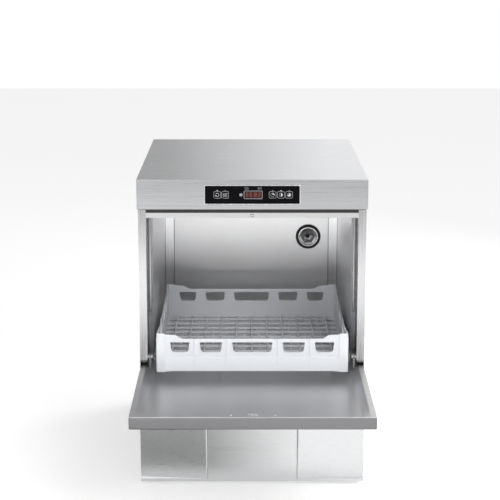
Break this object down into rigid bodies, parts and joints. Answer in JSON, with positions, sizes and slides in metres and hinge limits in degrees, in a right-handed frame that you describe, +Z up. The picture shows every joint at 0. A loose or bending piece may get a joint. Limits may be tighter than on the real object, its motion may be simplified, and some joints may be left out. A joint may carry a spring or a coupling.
{
  "type": "commercial dishwasher",
  "caption": "Undercounter front-loading commercial dishwasher with drop-down door, sliding rack, wash and rinse arms and a push-key control panel.",
  "frame": {"origin": "on the floor, at the middle of the footprint with the door open", "axes": "X is the width, -Y is the front where the door opens, +Z is up"},
  "size_m": [0.6, 1.057, 0.84],
  "materials": {
    "steel_brushed": "fine horizontal brushing",
    "steel_chamber": "satin inner sheet",
    "steel_plain": "plain sheet and tube",
    "bright_metal": "polished",
    "hinge_steel": "plate",
    "bronze": "turned",
    "brass_fittings": "turned",
    "window_black": "gloss",
    "key_black": "satin gloss",
    "display_red": "tinted lens",
    "board_green": "laminate",
    "rubber_black": "moulded",
    "rack_white": "moulded",
    "plastic_grey": "moulded",
    "hose_rubber": "extruded"
  },
  "bodies": {
    "cabinet": {"back_panel": "steel_plain", "back_panel_screws": "bright_metal", "base_frame": "steel_plain", "cable_gland": "plastic_grey", "catch_housing": "bright_metal", "chamber_back_wall": "steel_chamber", "chamber_ceiling": "steel_chamber", "control_board": "board_green", "control_fascia": "steel_brushed", "control_window": "window_black", "display_lens": "display_red", "door_header": "steel_chamber", "door_sill": "steel_chamber", "door_springs": "bright_metal", "dosing_pumps": "plastic_grey", "drain_outlet": "plastic_grey", "drain_pump": "plastic_grey", "filter_cartridge": "steel_chamber", "filter_screens": "steel_chamber", "front_posts": "steel_chamber", "hinge_bushes": "bronze", "inlet_valve": "brass_fittings", "left_chamber_wall": "steel_chamber", "left_side_panel": "steel_brushed", "levelling_feet": "rubber_black", "lower_arm_post": "plastic_grey", "lower_front_panel": "steel_brushed", "port_insert": "bright_metal", "port_seal": "rubber_black", "rack_rails": "steel_chamber", "right_chamber_wall": "steel_chamber", "right_side_panel": "steel_brushed", "rinse_boiler": "steel_plain", "rinse_pipe": "hose_rubber", "tank_floor": "steel_chamber", "tank_heater": "bright_metal", "top_panel": "steel_brushed", "top_seal": "rubber_black", "upper_arm_post": "plastic_grey", "wash_pipes": "hose_rubber", "wash_pump_motor": "steel_plain", "wash_pump_volute": "plastic_grey", "water_inlet": "brass_fittings"},
    "door": {"door_outer_panel": "steel_brushed", "door_liner": "steel_chamber", "strike_plate": "bright_metal", "hinge_lugs": "hinge_steel", "hinge_pins": "bright_metal", "hinge_levers": "hinge_steel"},
    "rack": {"rack_basket": "rack_white"},
    "catch_ball": {"catch_ball": "bright_metal"},
    "lower_wash_arm": {"lower_wash_arm": "steel_plain"},
    "lower_rinse_arm": {"lower_rinse_arm": "steel_plain"},
    "upper_wash_arm": {"upper_wash_arm": "steel_plain"},
    "upper_rinse_arm": {"upper_rinse_arm": "steel_plain"},
    "key_start": {"key_start": "key_black"},
    "key_drain": {"key_drain": "key_black"},
    "key_short_cycle": {"key_short_cycle": "key_black"},
    "key_medium_cycle": {"key_medium_cycle": "key_black"},
    "key_long_cycle": {"key_long_cycle": "key_black"}
  },
  "joints": [
    {"name": "door_hinge", "type": "hinge", "parent": "cabinet", "child": "door", "pos_m": [0, -0.1185, 0.348], "axis": [-1, 0, 0], "range_deg": [0, 90], "deforming": ["door_springs"]},
    {"name": "rack_slide", "type": "slide", "parent": "cabinet", "child": "rack", "axis": [0, 1, 0], "range_m": [0, 0.1881]},
    {"name": "catch_press", "type": "slide", "parent": "cabinet", "child": "catch_ball", "axis": [0, 1, 0], "range_m": [0, 0.0024], "stiffness_N_per_m": 800},
    {"name": "lower_wash_arm_spin", "type": "hinge", "parent": "cabinet", "child": "lower_wash_arm", "pos_m": [0, 0.2085, 0.3], "axis": [0, 0, 1], "continuous": true},
    {"name": "lower_rinse_arm_spin", "type": "hinge", "parent": "cabinet", "child": "lower_rinse_arm", "pos_m": [0, 0.2085, 0.3], "axis": [0, 0, 1], "continuous": true},
    {"name": "upper_wash_arm_spin", "type": "hinge", "parent": "cabinet", "child": "upper_wash_arm", "pos_m": [0, 0.2085, 0.72], "axis": [0, 0, 1], "continuous": true},
    {"name": "upper_rinse_arm_spin", "type": "hinge", "parent": "cabinet", "child": "upper_rinse_arm", "pos_m": [0, 0.2085, 0.72], "axis": [0, 0, 1], "continuous": true},
    {"name": "key_start_press", "type": "slide", "parent": "cabinet", "child": "key_start", "axis": [0, 1, 0], "range_m": [0, 0.0008], "stiffness_N_per_m": 400},
    {"name": "key_drain_press", "type": "slide", "parent": "cabinet", "child": "key_drain", "axis": [0, 1, 0], "range_m": [0, 0.0008], "stiffness_N_per_m": 400},
    {"name": "key_short_cycle_press", "type": "slide", "parent": "cabinet", "child": "key_short_cycle", "axis": [0, 1, 0], "range_m": [0, 0.0008], "stiffness_N_per_m": 400},
    {"name": "key_medium_cycle_press", "type": "slide", "parent": "cabinet", "child": "key_medium_cycle", "axis": [0, 1, 0], "range_m": [0, 0.0008], "stiffness_N_per_m": 400},
    {"name": "key_long_cycle_press", "type": "slide", "parent": "cabinet", "child": "key_long_cycle", "axis": [0, 1, 0], "range_m": [0, 0.0008], "stiffness_N_per_m": 400}
  ],
  "couplings": [
    {"joint": "rack_slide", "follows": "door_hinge", "m_per_rad": 0.11968}
  ]
}
